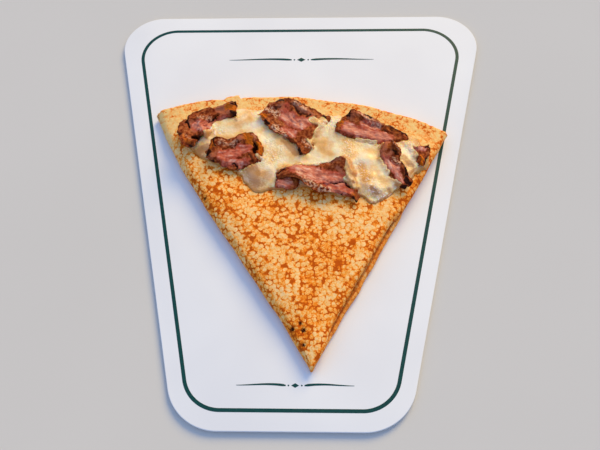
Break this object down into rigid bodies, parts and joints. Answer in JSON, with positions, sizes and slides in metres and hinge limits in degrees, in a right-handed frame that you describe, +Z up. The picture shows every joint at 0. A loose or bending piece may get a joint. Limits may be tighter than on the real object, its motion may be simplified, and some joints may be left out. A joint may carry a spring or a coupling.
{
  "type": "folded crepe",
  "caption": "Crepe folded to a wedge, topped near its rim with melted cheese and sliced roast beef, resting on a flat tapered plate.",
  "frame": {"origin": "middle of the plate's underside", "axes": "+Z up from the plate, +Y towards the plate's wide end and the crepe's rim, +X to the right as the crepe's tip points at the viewer"},
  "size_m": [0.232, 0.28, 0.025],
  "materials": {
    "plate_melamine": "white pressed melamine, satin gloss, with a thin dark green printed border",
    "crepe_batter": "griddled batter, pale gold with a lace of orange brown, matt with a little butter sheen",
    "cheese": "melted cheese, cream to pale yellow, glossy",
    "beef": "sliced roast beef, pink inside with brown seared edges, moist"
  },
  "bodies": {
    "root": {"plate": "plate_melamine", "crepe": "crepe_batter", "melted_cheese": "cheese", "beef_upper_left": "beef", "beef_lower_left": "beef", "beef_upper_middle": "beef", "beef_upper_right": "beef", "beef_lower_middle": "beef", "beef_lower_scrap": "beef", "beef_right": "beef", "beef_far_right": "beef"}
  },
  "joints": []
}
